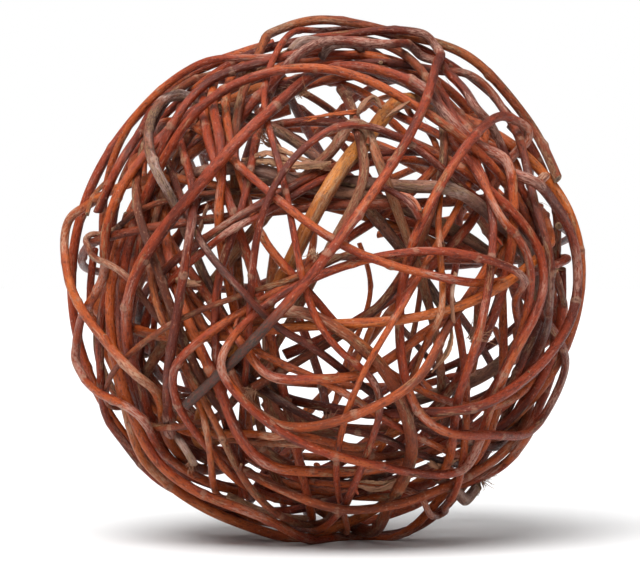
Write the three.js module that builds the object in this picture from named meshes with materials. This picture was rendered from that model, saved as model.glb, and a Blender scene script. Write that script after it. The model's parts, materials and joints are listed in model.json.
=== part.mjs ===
// A decorative ball wound by hand from long, thin, red-barked willow rods.
// Each rod is one solid. It lies on the ball's surface along its own route, passes over and
// under its neighbours, and most of its ends are tucked in under them. The ball is hollow and
// stands on the few rods that meet the ground.
// Millimetres, +Z up. The origin is on the ground, under the middle of the ball's outline.

import * as THREE from 'three';

// Driving sizes, in millimetres.
const BALL_DIAMETER = 200; // over the outermost rods, but for a few that stand proud
const ROD_DIAMETER = 3.4; // of a rod of ordinary thickness, at its middle
const ROD_GAP = 0.25; // left between two rods that touch
const STANDS = 1.002; // height of the ball's centre above the ground, in radii of the ball
const GROUND_FLAT = 0.85; // how far the rods that carry the ball are pressed flat
const FOOTING = 27; // radius within which the lowest rods sink onto the ground

// How a rod is shaped.
const TAPER = 0.22; // share by which a rod's tip is thinner than its butt
const RING_SPACING = 80; // longest straight stretch
const RING_TURN = 41; // degrees turned between two rings, which shortens the stretches
const BACK_COARSER = 1.6; // how many times longer the stretches are at the back of the ball
const SIDES = 5; // of a rod's section
const THIN_SIDES = 4; // of a thin rod's section
const THICK_SIDES = 6; // of a thick rod's section
const THIN = 0.9; // a rod up to this many times the ordinary thickness counts as thin
const THICK = 1.15; // and one from this many times counts as thick

const BARKS = {
  red: { color: 0x7d3a2b, roughness: 0.55, metalness: 0 },
  orange: { color: 0xa6582a, roughness: 0.55, metalness: 0 },
  dark: { color: 0x4a2a28, roughness: 0.6, metalness: 0 },
  brown: { color: 0x6b4632, roughness: 0.7, metalness: 0 },
  grey: { color: 0x7d6656, roughness: 0.8, metalness: 0 },
};

// The rods' routes over the front of the ball. A spot is [x, z, depth]: x to the right and z up
// from the ball's centre, in hundredths of its radius, as seen from VIEWED_FROM in front of it,
// and depth is the number of rods that lie over it. Past 100 hundredths a rod stands proud.
// before and after say how far the rod runs on round the ball at either end, in degrees, all of
// them lengthened by RUN_ON. size is its thickness as a share of an ordinary rod's.
const VIEWED_FROM = 5.33; // ball diameters
const RUN_ON = 1.25;
const ROUTES = [
  { size: 1.2, bark: 'red', before: 100, after: 110, way: [[-80, -23], [-78, -7], [-68, 12.5],
    [-54, 32], [-40, 49], [-20, 69.5], [-8, 80, 1], [10, 86.5, 1], [28, 83, 1], [38, 78, 1],
    [48, 70], [59, 59], [66, 49, 1], [71, 32, 1]] },
  { size: 1, bark: 'red', before: 115, after: 130, way: [[-64, 47, 1], [-57, 60], [-40, 72],
    [-25, 79.5], [-5, 82.5], [18, 78.5], [34, 71], [47, 62.5], [59, 53], [64, 46, 1]] },
  { size: 1, bark: 'red', before: 95, after: 130, way: [[-63, 62], [-49, 77], [-33, 86],
    [-10, 89, 1], [5, 90, 2]] },
  { size: 0.85, bark: 'red', before: 130, after: 115, way: [[-70, 64, 1], [-55, 81], [-31, 89.5],
    [0, 90, 2]] },
  { size: 1, bark: 'brown', before: 150, after: 0, way: [[-30, 84, 1], [-26, 93], [-21, 98],
    [-6, 102.5], [9, 100], [33, 93.5], [58, 87.5], [68, 77.5], [82, 59], [86, 48], [89.5, 40]] },
  { size: 0.76, bark: 'red', before: 80, after: 130, way: [[15, 95, 1], [-6, 100], [-19.5, 93],
    [-26, 79, 1], [-27, 65, 1], [-23.5, 46], [-17.5, 19], [-8, -10], [-2, -20.5], [7, -30],
    [16, -37, 1], [20, -47, 1], [19.5, -58.5], [12.5, -79], [3, -93, 1]] },
  { size: 1, bark: 'red', before: 95, after: 150, way: [[-24, 75, 2], [-13.5, 88], [1, 93.5],
    [18, 92.5], [37.5, 87.5, 1], [49.5, 82], [59.5, 70], [67, 60.5, 1], [77, 45, 1], [81, 38, 1]] },
  { size: 1, bark: 'red', before: 115, after: 0, way: [[14, 96, 2], [27.5, 98], [38, 97.5],
    [43, 92], [40, 79.5], [33, 62], [18, 40], [5.5, 18], [-9, 1], [-22.5, -15], [-39.5, -34.5, 1],
    [-56, -50]] },
  { size: 1, bark: 'red', before: 95, after: 10, way: [[-58, 60, 2], [-55.5, 40, 1], [-55.5, 19],
    [-60, -9.5], [-64.5, -34], [-69.5, -51]] },
  { size: 1.1, bark: 'grey', before: 80, after: 95, way: [[-52, 70, 2], [-62, 71, 1], [-69, 64],
    [-67.5, 52], [-62, 37], [-57, 27, 2]] },
  { size: 0.95, bark: 'red', before: 115, after: 0, way: [[-66, 68, 1], [-77.5, 51.5], [-84.5, 39],
    [-89, 27]] },
  { size: 1.05, bark: 'orange', before: 95, after: 150, way: [[-82, 34, 2], [-93, 31.5], [-100, 25],
    [-102, 14], [-97.5, 0], [-87.5, -18.5], [-74, -36], [-69, -46, 1], [-66, -52, 2]] },
  { size: 1, bark: 'red', before: 95, after: 115, way: [[-66, 52, 1], [-78, 36.5], [-86, 16.5],
    [-89.5, 0], [-93, -13, 1], [-98.5, -28], [-96.5, -33], [-85, -43], [-74.5, -49],
    [-64, -58, 2]] },
  { size: 0.95, bark: 'brown', before: 115, after: 130, way: [[-70, 54, 1], [-74.5, 33], [-69, 13.5],
    [-60.5, -8, 1], [-53, -26, 2]] },
  { size: 0.85, bark: 'dark', before: 95, after: 115, way: [[-57, 29, 2], [-49, 12.5], [-39, 1],
    [-24, -16.5, 1], [-12.5, -27.5], [5, -41, 2]] },
  { size: 0.9, bark: 'red', before: 95, after: 95, way: [[-48, 52, 2], [-36, 41.5], [-18, 27.5],
    [0, 17], [19, 8.5], [44.5, 3], [60, 2, 1], [68, 4, 2]] },
  { size: 0.95, bark: 'red', before: 20, after: 70, way: [[74, -11, 2], [76, -4], [68.5, 1.5],
    [52, 8.5], [35, 10.5], [13, 8, 1], [-7.5, 1, 1], [-28.5, -8.5], [-39, -20.5], [-40.5, -32],
    [-33.5, -43], [-22.5, -53], [-1.5, -65], [22, -71], [51, -73], [57.5, -70], [66, -51],
    [72, -36], [79, -17], [84.5, 3], [79.5, 23], [70, 33, 1]] },
  { size: 0.95, bark: 'red', before: 80, after: 95, way: [[-36, -14, 2], [-49.5, -22.5],
    [-60, -36], [-58.5, -48], [-48.5, -67], [-37, -76, 2]] },
  { size: 1, bark: 'red', before: 70, after: 115, way: [[77, 45, 1], [80.5, 55], [72.5, 62.5],
    [61, 57], [46.5, 38], [36.5, 16], [32.5, 1, 1], [31, -23], [34, -44], [41, -54.5],
    [60.5, -58], [78, -58], [88, -47], [91, -27, 1], [91, -15, 1]] },
  { size: 1.3, bark: 'brown', before: 95, after: 95, way: [[-32, -17, 2], [-15, -12.5, 1],
    [-1.5, -16.5], [12.5, -25], [28, -42.5], [33, -61], [31.5, -78], [20, -92], [7, -96.5, 1]] },
  { size: 1.1, bark: 'orange', before: 95, after: 95, way: [[-32, -20, 2], [-12.5, -18.5, 1],
    [12.5, -17.5], [33, -16], [54, -10.5], [68, -2.5], [79, 10, 2]] },
  { size: 0.72, bark: 'red', before: 70, after: 95, way: [[42, 10, 2], [31, -8.5], [17.5, -28.5],
    [7.5, -48, 1], [3.5, -68, 1], [4, -98, 1]] },
  { size: 0.82, bark: 'red', before: 95, after: 95, way: [[68, 34, 2], [54.5, 44.5], [34.5, 58],
    [17, 62], [0, 59], [-15, 45], [-28.5, 20.5], [-33.5, -6], [-38, -30, 2]] },
  { size: 1.65, bark: 'orange', before: 50, after: 95, way: [[14, 58, 2], [3.5, 44, 1],
    [-6, 26.5, 1], [-14, 6, 2], [-22, -8, 3]] },
  { size: 1.08, bark: 'brown', before: 70, after: 70, way: [[-12, 40, 3], [2.5, 53, 1],
    [14, 58.5, 1], [22, 54], [27, 38, 2]] },
  { size: 1, bark: 'orange', before: 20, after: 95, way: [[11, 57, 2], [13.5, 43, 1],
    [3, 18, 2], [-3, 8, 3]] },
  { size: 1.42, bark: 'grey', before: 70, after: 95, way: [[12, 42, 3], [35, 40, 1],
    [57, 35.5, 1], [68, 26, 2]] },
  { size: 1.3, bark: 'grey', before: 20, after: 80, way: [[-34, 46, 2], [-15, 46, 1],
    [6, 40, 3]] },
  { size: 1.02, bark: 'orange', before: 95, after: 95, way: [[63, -2, 2], [49.5, -22],
    [36.5, -37.5], [17, -48.5], [-3.5, -56], [-20, -53, 1], [-31, -43, 1]] },
  { size: 0.7, bark: 'orange', before: 70, after: 80, way: [[48, 38, 2], [48, 22], [47, 0, 1],
    [45, -16], [38, -34, 2]] },
  { size: 1.12, bark: 'red', before: 95, after: 95, way: [[60, 54, 2], [74.5, 40.5], [92, 24.5],
    [97.5, 3], [91.5, -20], [75, -38], [49, -49.5], [28, -50, 2], [18, -52, 2]] },
  { size: 0.95, bark: 'red', before: 80, after: 130, way: [[62, 42, 1], [69.5, 25.5], [79.5, 8.5],
    [78, -18, 1]] },
  { size: 0.95, bark: 'red', before: 80, after: 95, way: [[63, 40, 1], [64.5, 16, 1], [63.5, -7],
    [55, -40.5], [52, -60, 1], [46, -74, 2]] },
  { size: 0.95, bark: 'dark', before: 95, after: 115, way: [[40, 82, 2], [54, 84], [67.5, 72.5],
    [76, 53, 1], [82, 26, 1], [86, -8, 1], [88, -16, 1]] },
  { size: 1.05, bark: 'red', before: 95, after: 130, way: [[-70, -54, 1], [-68, -63.5],
    [-49.5, -80], [-20.5, -91], [8.5, -98.5], [29.5, -96], [46, -87], [54, -77, 1]] },
  { size: 1.1, bark: 'orange', before: 95, after: 130, way: [[-83, -38, 1], [-78, -54],
    [-64, -76.5], [-43, -90.5], [-15, -98, 1]] },
  { size: 0.95, bark: 'red', before: 115, after: 115, way: [[-90, -22, 1], [-88, -42],
    [-79.5, -60.5], [-64, -78, 2]] },
  { size: 1.15, bark: 'red', before: 95, after: 115, way: [[-50, -30, 2], [-42, -49],
    [-30, -67], [-13, -77], [2, -77, 1], [22, -75, 2]] },
  { size: 0.74, bark: 'orange', before: 80, after: 95, way: [[-55, -36, 2], [-47, -57.5],
    [-45, -72], [-42, -83, 1]] },
  { size: 0.8, bark: 'brown', before: 80, after: 115, way: [[-52, -34, 2], [-43, -56],
    [-29, -80], [-12, -92, 1]] },
  { size: 1.02, bark: 'red', before: 95, after: 95, way: [[-38, -20, 2], [-31, -31],
    [-22, -38], [0, -39.5], [16, -36.5, 1], [30, -27, 2]] },
  { size: 0.8, bark: 'red', before: 70, after: 95, way: [[-14, -36, 2], [3.5, -44],
    [14, -48, 1], [28, -56, 2]] },
  { size: 0.7, bark: 'brown', before: 95, after: 70, way: [[-86, 20, 1], [-92.5, 17.5],
    [-91, 13.5], [-80, 4.5], [-68, -8, 2]] },
  { size: 0.68, bark: 'brown', before: 70, after: 95, way: [[-82, -42, 1], [-80, -32],
    [-68.5, -24], [-49.5, -13], [-30, -7, 1]] },
  { size: 1.02, bark: 'red', before: 95, after: 95, way: [[-42, 79, 2], [-45.5, 67],
    [-42, 51], [-41, 36, 1], [-44, 24, 1]] },
  { size: 0.9, bark: 'dark', before: 95, after: 70, way: [[-55, 12, 2], [-40, 24],
    [-20, 33.5], [4, 43, 3]] },
  { size: 0.8, bark: 'red', before: 80, after: 50, way: [[-52, 8, 2], [-36, 23.5],
    [-22, 30, 2], [0, 40, 2]] },
  { size: 0.92, bark: 'red', before: 80, after: 95, way: [[-33, 52, 2], [-37, 34],
    [-44, 13.5], [-46.5, -8, 1]] },
  { size: 1.02, bark: 'orange', before: 95, after: 115, way: [[-36, -72, 2], [-20, -82],
    [1.5, -86.5], [22.5, -86], [47, -78, 1]] },
  { size: 0.85, bark: 'orange', before: 70, after: 80, way: [[-34, -60, 2], [-20, -62],
    [-5, -60, 2]] },
  { size: 0.88, bark: 'brown', before: 80, after: 80, way: [[-30, -66, 1], [-14, -67],
    [0, -68, 2]] },
  { size: 0.85, bark: 'dark', before: 70, after: 95, way: [[4, -60, 1], [20, -64, 1],
    [32, -70, 2]] },
  { size: 1, bark: 'dark', before: 95, after: 95, way: [[-30, -90, 2], [-16, -99],
    [6, -101], [30, -98], [38, -94, 1]] },
  { size: 1, bark: 'red', before: 115, after: 115, way: [[84, -46, 1], [77.5, -60],
    [63.5, -76.5], [57, -80, 1]] },
  { size: 0.8, bark: 'red', before: 50, after: 70, way: [[56, -68, 1], [51, -81],
    [46, -90], [39, -86.5], [30, -82, 2]] },
];

// Rods that are seen only in glimpses: rings that fill the ball under and behind the others.
// A ring goes round the axis that points to azimuth and height, in degrees, and shift moves it
// along that axis, in hundredths of the ball's radius. turn is its length, in degrees.
const RINGS = [
  { size: 1.05, bark: 'red', azimuth: 6, height: 4, shift: -19, start: 200, turn: 250, depth: 0 },
  { size: 0.95, bark: 'dark', azimuth: 180, height: 78, shift: 16, start: 20, turn: 360, depth: 2 },
  { size: 1, bark: 'red', azimuth: 95, height: 12, shift: -34, start: 80, turn: 350, depth: 2 },
  { size: 0.9, bark: 'red', azimuth: 55, height: 40, shift: 34, start: 200, turn: 340, depth: 2 },
  { size: 0.95, bark: 'brown', azimuth: 130, height: -34, shift: -44, start: 300, turn: 350, depth: 2 },
];

// Where the eye looks right through the ball between the front rods: spots with a radius.
// What runs on round the ball keeps clear of them.
const SEEN_THROUGH = [[6, -2, 13], [13, -58, 9], [-23, 18, 6], [19, 28, 6], [-22, 3, 5]];

const BALL_RADIUS = BALL_DIAMETER / 2;
const LAYER = ROD_DIAMETER + ROD_GAP; // one rod's depth
const DEG = Math.PI / 180;
const UP = new THREE.Vector3(0, 0, 1);
const VIEWER = new THREE.Vector3(0, -VIEWED_FROM * BALL_DIAMETER, 0);
const HUNDREDTH = BALL_RADIUS / 100;

// A repeatable share from 0 to 1 that differs for each rod and purpose.
function share(rod, purpose) {
  const scrambled = Math.sin(rod * 127.1 + purpose * 311.7) * 43758.5453;
  return scrambled - Math.floor(scrambled);
}

// How far from the ball's centre a rod of this size lies under so many others.
function reachAt(size, depth) {
  return BALL_RADIUS - (ROD_DIAMETER * size) / 2 - depth * LAYER;
}

// A spot of a route as a place: where the line of sight meets the sphere that the rod lies in,
// or where it comes closest to it.
function placeOf([x, z, depth = 0], size) {
  const sight = new THREE.Vector3(x * HUNDREDTH, 0, z * HUNDREDTH).sub(VIEWER).normalize();
  const closest = -VIEWER.dot(sight);
  const missed = VIEWER.lengthSq() - closest ** 2;
  const inside = Math.sqrt(Math.max(0, reachAt(size, depth) ** 2 - missed));
  return VIEWER.clone().addScaledVector(sight, closest - inside);
}

// Moves a place off the lines of sight that go right through the ball.
function clearOfSight(place) {
  const scale = (place.y - VIEWER.y) / -VIEWER.y;
  for (const [x, z, radius] of SEEN_THROUGH) {
    const dx = place.x / scale - x * HUNDREDTH;
    const dz = place.z / scale - z * HUNDREDTH;
    const wanted = radius * HUNDREDTH + ROD_DIAMETER / 2;
    const apart = Math.max(Math.hypot(dx, dz), 1e-3);
    if (apart >= wanted) continue;
    place.x += (dx / apart) * (wanted - apart) * scale;
    place.z += (dz / apart) * (wanted - apart) * scale;
  }
  return place;
}

// The places by which a rod runs on round the ball, one every STRIDE degrees.
const STRIDE = 12;
const BACK_DEPTH = 4.5; // how much deeper rods may lie where they are hidden
const FRONT_DEPTH = 3; // how much deeper they pass where the front rods are
const BACK = [-0.1, 0.5]; // shares of the radius behind the centre over which a rod gets hidden
const FRONT = [0.1, 0.45]; // and those in front of it over which it gets under the front rods
const SWAY = 2.6; // most degrees that a rod turns aside in a stride
const SWAY_SPAN = 38; // degrees run on for each radian of that swaying
const SUNK = 2.2; // layers that a rod lies under the surface on the whole
const WANDER = 0.8; // layers that it wanders out of that and back
const WANDER_SPAN = 24; // degrees run on for each radian of that wandering
const SETTLES_IN = 36; // degrees run on until a rod lies as deep as that
const TUCKED = 1.2; // layers that its very end is tucked in
function runOn(places, degrees, size, rod, purpose) {
  const [previous, last] = places.slice(-2);
  const here = last.clone().normalize();
  const heading = last.clone().sub(previous).projectOnPlane(here).normalize();
  const phase = share(rod, purpose) * 2 * Math.PI;
  const start = (reachAt(size, 0) - last.length()) / LAYER;
  const added = [];
  for (let gone = STRIDE; gone <= degrees; gone += STRIDE) {
    const axis = new THREE.Vector3().crossVectors(here, heading).normalize();
    here.applyAxisAngle(axis, STRIDE * DEG);
    heading.applyAxisAngle(axis, STRIDE * DEG);
    heading.applyAxisAngle(here, SWAY * Math.sin(phase + gone / SWAY_SPAN) * DEG);
    const wander = SUNK + WANDER * Math.sin(phase * 3 + gone / WANDER_SPAN);
    const hidden = BACK_DEPTH * THREE.MathUtils.smoothstep(here.y, ...BACK) * share(rod, 5)
      + FRONT_DEPTH * THREE.MathUtils.smoothstep(-here.y, ...FRONT);
    const settled = Math.min(1, gone / SETTLES_IN);
    const tucked = degrees - gone < STRIDE ? TUCKED : 0;
    const depth = start * (1 - settled) + (wander + hidden) * settled + tucked;
    added.push(clearOfSight(here.clone().multiplyScalar(reachAt(size, depth))));
  }
  return added;
}

function routePlaces({ way, before, after, size }, rod) {
  const front = way.map((spot) => placeOf(spot, size));
  const ahead = runOn(front, RUN_ON * after, size, rod, 1);
  const behind = runOn([...front].reverse(), RUN_ON * before, size, rod, 2).reverse();
  return [...behind, ...front, ...ahead];
}

// The places by which a ring goes round: it sways along its axis and wanders in and out.
const RING_SWAY = 0.08; // share of the ball's radius
const RING_SWAY_SPAN = 45; // degrees gone for each radian of that swaying
const RING_WANDER = 0.7; // layers at most
const RING_WANDER_SPAN = 30; // degrees gone for each radian of that wandering
function ringPlaces(ring, rod) {
  const axis = new THREE.Vector3(0, -1, 0)
    .applyAxisAngle(new THREE.Vector3(1, 0, 0), -ring.height * DEG)
    .applyAxisAngle(UP, ring.azimuth * DEG);
  const side = new THREE.Vector3().crossVectors(axis, UP).normalize();
  const lift = new THREE.Vector3().crossVectors(side, axis);
  const places = [];
  for (let gone = 0; gone <= ring.turn; gone += STRIDE) {
    const angle = (ring.start + gone) * DEG;
    const phase = share(rod, 3) * 6;
    const off = ring.shift / 100 + RING_SWAY * Math.sin(gone / RING_SWAY_SPAN + phase);
    const wide = Math.sqrt(1 - off * off);
    const direction = axis.clone().multiplyScalar(off)
      .addScaledVector(side, wide * Math.cos(angle))
      .addScaledVector(lift, wide * Math.sin(angle));
    const wander = Math.min(ring.depth, RING_WANDER) * Math.sin(gone / RING_WANDER_SPAN);
    const depth = ring.depth + wander;
    places.push(clearOfSight(direction.multiplyScalar(reachAt(ring.size, depth))));
  }
  return places;
}

// Ring centres along a smooth line through the places: closer together where it bends.
const FINE_STEP = BALL_DIAMETER / 100;
function ringCentres(places) {
  const line = new THREE.CatmullRomCurve3(places, false, 'centripetal');
  const fine = line.getSpacedPoints(Math.ceil(line.getLength() / FINE_STEP));
  const cost = [0];
  for (let i = 1; i < fine.length; i += 1) {
    const step = fine[i].clone().sub(fine[i - 1]);
    const next = (fine[i + 1] ?? fine[i]).clone().sub(fine[i]);
    const turned = next.lengthSq() > 0 ? step.angleTo(next) / DEG : 0;
    const coarser = 1 + (BACK_COARSER - 1) * THREE.MathUtils.smoothstep(fine[i].y, 0, BALL_RADIUS / 2);
    cost.push(cost[i - 1] + (step.length() / RING_SPACING + turned / RING_TURN) / coarser);
  }
  const count = Math.ceil(cost.at(-1));
  const centres = [];
  for (let k = 0, i = 0; k <= count; k += 1) {
    const wanted = (k / count) * cost.at(-1);
    while (i < fine.length - 2 && cost[i + 1] < wanted) i += 1;
    const part = (wanted - cost[i]) / (cost[i + 1] - cost[i]);
    centres.push(fine[i].clone().lerp(fine[i + 1], THREE.MathUtils.clamp(part, 0, 1)));
  }
  return centres;
}

// A line's places with their distances from the ball's centre evened out, as a stiff rod would
// lie, but for the places where it stands proud.
const EVENINGS = 2;
function evened(places) {
  let reaches = places.map((place) => place.length());
  for (let pass = 0; pass < EVENINGS; pass += 1) {
    reaches = reaches.map((reach, k) => {
      const beside = ((reaches[k - 1] ?? reach) + (reaches[k + 1] ?? reach)) / 2;
      return reach > BALL_RADIUS ? reach : (reach + beside) / 2;
    });
  }
  return places.map((place, k) => place.clone().setLength(reaches[k]));
}

function makeRod({ size, bark }, places, number) {
  const drawn = ringCentres(places);
  const centres = evened(drawn);
  const towardsEnd = share(number, 4) < 0.5 ? 1 : -1; // which end is the thin one
  const radii = centres.map((_, k) => {
    const along = 0.5 - k / (centres.length - 1);
    return (ROD_DIAMETER / 2) * size * (1 + towardsEnd * TAPER * along);
  });
  const wanted = centres.map((centre) => centre.clone());
  return { number, bark, size, centres, radii, wanted, reaches: drawn.map((c) => c.length()) };
}

const rods = [
  ...ROUTES.map((route, i) => makeRod(route, routePlaces(route, i), i + 1)),
  ...RINGS.map((ring, i) => makeRod(ring, ringPlaces(ring, i), ROUTES.length + i + 1)),
];

// Settling: rods that would run through each other are pushed apart, the outer one outwards and
// the inner one inwards, while each keeps its own route and stays smooth.
const stretches = rods.flatMap((rod) =>
  rod.centres.slice(1).map((_, k) => ({ rod, k, a: rod.centres[k], b: rod.centres[k + 1] })));
const GROUND = -STANDS * BALL_RADIUS;
const ROUNDS = 300; // with the rods that cross kept in order
const SLACKENING = 0.5; // share of their firmness that the rods lose over these rounds
const LAST_ROUNDS = 500; // at most, with no order kept
const LAST_FIRMNESS = 0.6; // of the rods at the start of the last rounds
const LAST_SLACKENING = 0.8; // what they would lose of it over all of them, but not below 0
const PAIRS_LAST = 20; // rounds until the close pairs are looked for again
const SPARE = 0.2 * ROD_GAP; // pushed apart further than needed, in the first rounds
const LAST_SPARE = 0.08 * ROD_GAP; // and in the last
const CLOSE_ENOUGH = 0.02 * ROD_GAP; // what may be missing from the gaps in the end

// The closest spots of the lines p-q and r-s, as shares along each.
function closestShares(p, q, r, s) {
  const d1 = q.clone().sub(p);
  const d2 = s.clone().sub(r);
  const w = p.clone().sub(r);
  const a = d1.lengthSq();
  const e = d2.lengthSq();
  const b = d1.dot(d2);
  const c = d1.dot(w);
  const f = d2.dot(w);
  const clamp = (value) => Math.min(1, Math.max(0, value));
  const det = a * e - b * b;
  let t = det > 1e-9 * a * e ? clamp((b * f - c * e) / det) : 0.5;
  let u = (b * t + f) / e;
  if (u < 0 || u > 1) {
    u = clamp(u);
    t = clamp((b * u - c) / a);
  }
  return [t, u];
}

function mixed(one, two, part) {
  return one * (1 - part) + two * part;
}

// Pairs of stretches that are close enough to touch.
function nearPairs() {
  const pairs = [];
  const middles = stretches.map(({ a, b }) => a.clone().lerp(b, 0.5));
  const reaches = stretches.map(({ a, b }) => a.distanceTo(b) / 2 + 2 * ROD_DIAMETER);
  for (let i = 0; i < stretches.length; i += 1) {
    for (let j = i + 1; j < stretches.length; j += 1) {
      const joined = stretches[i].rod === stretches[j].rod && j - i < 3;
      const reach = reaches[i] + reaches[j];
      if (!joined && middles[i].distanceToSquared(middles[j]) < reach * reach) {
        pairs.push([stretches[i], stretches[j]]);
      }
    }
  }
  return pairs;
}

// 1 where the first of two crossing stretches was drawn further out and -1 where the second was,
// or 0 where they were drawn at about the same depth and may pass either way.
const SAME_DEPTH = 0.4 * LAYER;
const orders = new Map();
function orderOf(one, two, t, u) {
  const key = `${one.rod.number}.${one.k}.${two.rod.number}.${two.k}`;
  if (!orders.has(key)) {
    const out1 = mixed(one.rod.reaches[one.k], one.rod.reaches[one.k + 1], t);
    const out2 = mixed(two.rod.reaches[two.k], two.rod.reaches[two.k + 1], u);
    orders.set(key, Math.abs(out1 - out2) < SAME_DEPTH ? 0 : Math.sign(out1 - out2));
  }
  return orders.get(key);
}

// Moves the spot at share t of a stretch by way of its two ends.
function move(stretch, t, direction, by) {
  const scale = by / ((1 - t) ** 2 + t ** 2);
  stretch.a.addScaledVector(direction, scale * (1 - t));
  stretch.b.addScaledVector(direction, scale * t);
}

// Pushes apart what is too close, and gives back the worst of it. While the rods are ordered,
// two that cross are pushed to the sides that their routes give them.
const CROSSING = 0.3; // sine of the angle from which two stretches count as crossing
const IN_ORDER = 0.35; // how steeply the outer one must lie off the inner one, as a sine
function pushApart(pairs, spare, ordered) {
  let worst = 0;
  for (const [one, two] of pairs) {
    const [t, u] = closestShares(one.a, one.b, two.a, two.b);
    const spot1 = one.a.clone().lerp(one.b, t);
    const spot2 = two.a.clone().lerp(two.b, u);
    const away = spot1.clone().sub(spot2);
    const apart = away.length();
    const radius1 = mixed(one.rod.radii[one.k], one.rod.radii[one.k + 1], t);
    const radius2 = mixed(two.rod.radii[two.k], two.rod.radii[two.k + 1], u);
    const needed = radius1 + radius2 + ROD_GAP + spare;
    if (apart >= needed) continue;
    worst = Math.max(worst, needed - spare - apart);
    const outward = spot1.add(spot2).normalize();
    const sine = one.b.clone().sub(one.a).normalize()
      .cross(two.b.clone().sub(two.a).normalize()).length();
    let push = (needed - apart) / 2;
    away.normalize();
    if (apart < 1e-6) away.copy(outward);
    if (ordered && sine > CROSSING) {
      const order = orderOf(one, two, t, u);
      const signed = away.dot(outward) * order * apart;
      if (order !== 0 && signed < IN_ORDER * apart) {
        away.copy(outward).multiplyScalar(order);
        push = Math.min(needed, needed - signed) / 4;
      }
    }
    move(one, t, away, push);
    move(two, u, away, -push);
  }
  return worst;
}

// Draws each rod back towards its route, and spreads along it what has moved it off.
const SPREAD = 0.9; // share of the way to what the spots beside it have moved
const SIDEWAYS_HOLD = 0.03; // share of what it has moved sideways that a firm rod takes back
const DEPTH_HOLD = 0.003; // the same for what it has moved inwards or outwards
const PASSES = 2;
function drawBack(firmness) {
  for (const { centres, wanted } of rods) {
    for (let pass = 0; pass < PASSES; pass += 1) {
      const drifts = centres.map((centre, k) => centre.clone().sub(wanted[k]));
      centres.forEach((centre, k) => {
        const beside = (drifts[k - 1] ?? drifts[k]).clone().add(drifts[k + 1] ?? drifts[k]);
        const drift = drifts[k].clone().lerp(beside.multiplyScalar(0.5), SPREAD * firmness);
        const inDepth = drift.clone().projectOnVector(wanted[k]);
        const sideways = drift.sub(inDepth);
        centre.copy(wanted[k])
          .addScaledVector(sideways, 1 - SIDEWAYS_HOLD * firmness)
          .addScaledVector(inDepth, 1 - DEPTH_HOLD * firmness);
      });
    }
  }
}

function underFoot(place) {
  return place.z < 0 && Math.hypot(place.x, place.y) < FOOTING;
}

// Keeps the rods off the ground, and none further out than its route or the ball's surface.
const PROUD = 0.3; // layers that it may still stand out from that surface
function holdIn() {
  for (const { centres, wanted, radii, size } of rods) {
    centres.forEach((centre, k) => {
      const most = Math.max(reachAt(size, -PROUD), wanted[k].length());
      if (!underFoot(centre) && centre.length() > most) centre.setLength(most);
      centre.z = Math.max(centre.z, GROUND + radii[k] - GROUND_FLAT);
    });
  }
}

// Lets the lowest rods sink onto the ground.
const SINKING = 0.4; // share of the way down in a round
const SINKS_FROM = 1.5 * LAYER; // greatest height from which a rod sinks
const SINKING_ROUNDS = 0.8 * LAST_ROUNDS; // of the last rounds
function sink() {
  for (const { centres, radii } of rods) {
    centres.forEach((centre, k) => {
      const above = centre.z - (GROUND + radii[k] - GROUND_FLAT);
      if (underFoot(centre) && above < SINKS_FROM) centre.z -= SINKING * above;
    });
  }
}

let pairs = nearPairs();
for (let round = 0; round < ROUNDS; round += 1) {
  if (round % PAIRS_LAST === PAIRS_LAST - 1) pairs = nearPairs();
  drawBack(1 - (SLACKENING * round) / ROUNDS);
  sink();
  pushApart(pairs, SPARE, true);
  holdIn();
}
for (let round = 0; round < LAST_ROUNDS; round += 1) {
  if (round % PAIRS_LAST === 0) pairs = nearPairs();
  drawBack(Math.max(0, LAST_FIRMNESS - (LAST_SLACKENING * round) / LAST_ROUNDS));
  if (round < SINKING_ROUNDS) sink();
  const worst = pushApart(pairs, LAST_SPARE, false);
  holdIn();
  if (worst < CLOSE_ENOUGH) break;
}

// One rod's solid: a ring of corners at each centre, a corner facing inwards, and low caps.
const CAP_HEIGHT = 0.35; // of the rod's radius
function rodGeometry({ size, centres, radii }) {
  let sides = size >= THICK ? THICK_SIDES : SIDES;
  if (size <= THIN) sides = THIN_SIDES;
  const positions = [];
  const index = [];
  centres.forEach((centre, k) => {
    const before = centres[Math.max(0, k - 1)];
    const after = centres[Math.min(centres.length - 1, k + 1)];
    const forward = after.clone().sub(before).normalize();
    const outward = centre.clone().projectOnPlane(forward).normalize();
    const side = new THREE.Vector3().crossVectors(forward, outward);
    for (let s = 0; s < sides; s += 1) {
      const angle = ((s + 0.5) / sides) * 2 * Math.PI;
      const corner = centre.clone()
        .addScaledVector(outward, radii[k] * Math.cos(angle))
        .addScaledVector(side, radii[k] * Math.sin(angle));
      positions.push(corner.x, corner.y, Math.max(corner.z, GROUND));
    }
  });
  const last = centres.length - 1;
  for (let k = 0; k < last; k += 1) {
    for (let s = 0; s < sides; s += 1) {
      const a = k * sides + s;
      const b = k * sides + ((s + 1) % sides);
      index.push(a, b, a + sides, b, b + sides, a + sides);
    }
  }
  for (const [k, inward] of [[0, 1], [last, last - 1]]) {
    const out = centres[k].clone().sub(centres[inward]).setLength(radii[k] * CAP_HEIGHT);
    const tip = centres[k].clone().add(out);
    const pole = positions.length / 3;
    positions.push(tip.x, tip.y, Math.max(tip.z, GROUND));
    for (let s = 0; s < sides; s += 1) {
      const a = k * sides + s;
      const b = k * sides + ((s + 1) % sides);
      index.push(...(k === 0 ? [pole, b, a] : [pole, a, b]));
    }
  }
  return new THREE.BufferGeometry()
    .setAttribute('position', new THREE.Float32BufferAttribute(positions, 3))
    .setIndex(index);
}

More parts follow.
